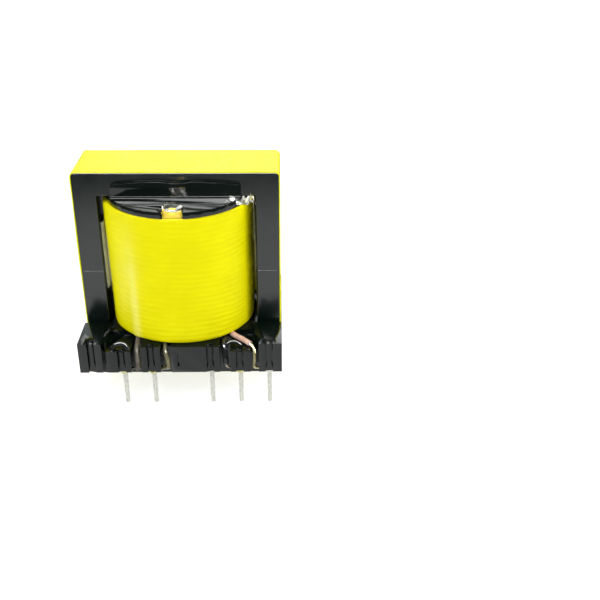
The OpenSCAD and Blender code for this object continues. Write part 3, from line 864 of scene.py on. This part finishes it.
glue_piece("glue_drop_blob", "glue_drop", [
    blob((drop.x, drop.y - 0.5 * MM, drop_lo.z), (1.7, 1.7, 0.8), 1, 0.12),
])
glue_piece("glue_bead_blobs", "glue_beads", [
    corner_bead(1, -1, (0.3, -0.05, 0), (0.5, 0.5, 0.5), 3, 0.4),
    corner_bead(1, -1, (2.3, 0.5, -0.9), (0.65, 0.45, 0.95), 4, 0.6),
    corner_bead(1, -1, (3.3, 0.9, -0.7), (0.5, 0.4, 1.1), 8, 0.6),
    corner_bead(1, -1, (1.5, -0.9, -0.4), (0.45, 0.4, 0.5), 9, 0.6),
    corner_bead(1, -1, (-0.5, -1.5, -0.1), (0.3, 0.25, 0.35), 5, 0.4),
    corner_bead(1, 1, (-0.3, 0, 0), (0.7, 0.7, 0.6), 6, 0.4),
    corner_bead(-1, 1, (0.3, 0, 0), (0.7, 0.7, 0.6), 7, 0.4),
])


# the fold's radius, and the length that lies on the flange
FOLD_R, TONGUE_FLAT = 0.25 * MM, 0.4 * MM


def tongue_profile(lo, hi):
    """Side view of the folded tape: up, round the fold and back over the flange."""
    profile = []
    for t in np.linspace(0, 1, 14):
        profile.append((lo.y + 0.05 * MM * math.sin(3 * t), lo.z + (hi.z - lo.z - FOLD_R) * t))
    for t in np.linspace(0, 1, 8)[1:]:
        a = math.radians(180 - 90 * t)
        profile.append((lo.y + FOLD_R * (1 + math.cos(a)), hi.z - FOLD_R + FOLD_R * math.sin(a)))
    for t in np.linspace(0, 1, 12)[1:]:
        profile.append((lo.y + FOLD_R + TONGUE_FLAT * t, hi.z))
    return profile


def tongue():
    """Tape folded from the winding up through the notch and back over the flange."""
    lo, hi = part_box("tape_tongue")
    rows = [[Vector((x, y, z + 0.04 * MM * lump(x, y, z, 1.2, 21)))
             for x in np.linspace(lo.x, hi.x, 13)] for y, z in tongue_profile(lo, hi)]
    verts, faces = grid_data(rows, False)
    return thicken(mesh_object("tongue_fold", verts, faces), 0.12 * MM)


finish_piece(tongue(), ORANGE_FILM, "inner_tape", "tape_tongue")


# ---------------------------------------------------------------- film strips beside the winding

LEFT_PLAN = [(-12.93, -4.3), (-12.83, -3.85), (-12.7, -3.4), (-12.72, -2.6), (-12.86, -1), (-12.9, 5.2)]
RIGHT_PLAN = [(12.9, -5.2), (12.88, 1), (12.75, 3.2), (12.3, 4.6), (11.7, 5.3)]
RIGHT_END_PLAN = [(12.62, -5.1), (12.66, -3), (12.7, -1)]
STRIP_STEPS = 24


def film_strip(name, plan, z0, z1, thick=0.12):
    """Strip that stands up along a plan curve. Plan and thickness are in millimetres."""
    path = smooth_path([(x, y, 0) for x, y in plan], 6)
    rows = []
    for i in range(STRIP_STEPS + 1):
        z = z0 + (z1 - z0) * i / STRIP_STEPS
        rows.append([Vector((p.x + 0.05 * MM * lump(p.x, p.y, z, 4, 31), p.y, z)) for p in path])
    verts, faces = grid_data(rows, False)
    return thicken(mesh_object(name, verts, faces), thick * MM, 0)


finish_piece(film_strip("left_strip", LEFT_PLAN, core_base + 0.39 * core_tall,
                        core_base + 0.74 * core_tall), STRIP_FILM, "strip", "side_strip")
finish_piece(film_strip("right_strip", RIGHT_PLAN, 13.2 * MM, strip_top), DARK_FILM, "strip")
finish_piece(film_strip("right_strip_end", RIGHT_END_PLAN, 28.5 * MM, strip_top, 0.1),
             OLIVE_FILM, "strip")


# ---------------------------------------------------------------- floor, light and camera

FLOOR_HALF, FLOOR_Z = 1.2, -0.05 * MM
PAPER = (0.62, 0.62, 0.62, 1)
PAPER_GLOW = 0.72
# distances from the origin between which the mirrored sheet fades out
SHEET_END = (0.088, 0.112)
# the camera that was fitted to the photograph: place in metres, turn in degrees, lens in mm
CAMERA_AT = (0.01699, -0.14070, 0.09041)
CAMERA_TURN = (61.564, -0.337, -1.240)
LENS, SENSOR = 53.03, 36
# the point that every lamp faces
AIM = Vector((0, 0, 0.02))


def floor_material():
    """White paper: glows for the camera, mirrors as a bright sheet that ends near the object, and is
    clear from below."""
    mat = emptied(bpy.data.materials.new("white_floor"))
    path = add(mat, "ShaderNodeLightPath")
    glow = add(mat, "ShaderNodeEmission")
    link(mat, map_range(mat, path.outputs["Is Camera Ray"], 0.0, 1.0, 0.0, PAPER_GLOW),
         glow.inputs["Strength"])
    paper = add(mat, "ShaderNodeAddShader")
    link(mat, add(mat, "ShaderNodeBsdfDiffuse", Color=PAPER).outputs[0], paper.inputs[0])
    link(mat, glow.outputs[0], paper.inputs[1])
    sheet = add(mat, "ShaderNodeEmission")
    reach = length_of(mat, add(mat, "ShaderNodeTexCoord").outputs["Object"])
    link(mat, map_range(mat, reach, *SHEET_END, 1.0, 0.08), sheet.inputs["Strength"])
    above = mixed(mat, path.outputs["Is Glossy Ray"], paper.outputs[0], sheet.outputs[0])
    below = add(mat, "ShaderNodeNewGeometry").outputs["Backfacing"]
    clear = add(mat, "ShaderNodeBsdfTransparent")
    out = add(mat, "ShaderNodeOutputMaterial")
    link(mat, mixed(mat, below, above, clear.outputs[0]), out.inputs[0])
    return mat


def make_floor():
    s = FLOOR_HALF
    obj = mesh_object("floor", [(-s, -s, 0), (s, -s, 0), (s, s, 0), (-s, s, 0)], [(0, 1, 2, 3)], False)
    obj.location.z = FLOOR_Z
    obj.data.materials.append(floor_material())


def make_world():
    """White for the camera, a soft light for diffuse surfaces, and for reflections a sky that is bright
    behind the object and below it."""
    world = emptied(bpy.data.worlds.new("studio"))
    soft = add(world, "ShaderNodeBackground", Color=(1, 1, 1, 1), Strength=0.55)
    mirror = add(world, "ShaderNodeBackground", Color=(0.93, 1.0, 0.97, 1))
    white = add(world, "ShaderNodeBackground", Color=(1, 1, 1, 1), Strength=1.0)
    path = add(world, "ShaderNodeLightPath")
    at = add(world, "ShaderNodeTexCoord").outputs["Generated"]
    behind = map_range(world, axis_of(world, at, "Y"), 0.15, 0.75, 0.1, 0.95)
    below = map_range(world, axis_of(world, at, "Z"), -0.2, -0.7, 0.0, 0.9)
    link(world, maths(world, "MAXIMUM", behind, below), mirror.inputs["Strength"])
    seen = maths(world, "MAXIMUM", path.outputs["Is Camera Ray"], path.outputs["Is Transmission Ray"])
    lit = mixed(world, path.outputs["Is Glossy Ray"], soft.outputs[0], mirror.outputs[0])
    out = add(world, "ShaderNodeOutputWorld")
    link(world, mixed(world, seen, lit, white.outputs[0]), out.inputs[0])
    bpy.context.scene.world = world


def area_light(name, at, size, power):
    """Rectangular lamp that faces AIM."""
    data = bpy.data.lights.new(name, "AREA")
    data.shape = "RECTANGLE"
    data.size, data.size_y = size
    data.energy = power
    obj = new_object(name, data)
    obj.location = at
    obj.rotation_mode = "QUATERNION"
    obj.rotation_quaternion = (AIM - Vector(at)).to_track_quat("-Z", "Y")
    return obj


def make_camera():
    data = bpy.data.cameras.new("camera")
    data.sensor_width = SENSOR
    data.lens = LENS
    data.clip_start, data.clip_end = 0.005, 10
    obj = new_object("camera", data)
    obj.location = CAMERA_AT
    obj.rotation_euler = [math.radians(a) for a in CAMERA_TURN]
    bpy.context.scene.camera = obj


make_floor()
make_world()
key = area_light("key", (-0.16, -0.26, 0.34), (0.22, 0.22), 0.74)
key.visible_glossy = False
area_light("fill", (0.26, -0.2, 0.2), (0.2, 0.3), 0.2)
area_light("left_fill", (-0.3, -0.12, 0.12), (0.2, 0.2), 0.22)
area_light("right_fill", (0.3, -0.02, 0.12), (0.2, 0.2), 0.42)
area_light("top", (0.02, 0.05, 0.4), (0.3, 0.3), 0.12)
area_light("back", (0.05, 0.3, 0.2), (0.3, 0.2), 0.25)
# shows only in reflections, as the bright lines along rounded edges
edge_strip = area_light("edge_strip", (0.0, -0.2, 0.36), (0.5, 0.16), 11.0)
edge_strip.visible_diffuse = False
make_camera()
bpy.context.scene.view_settings.view_transform = "Standard"
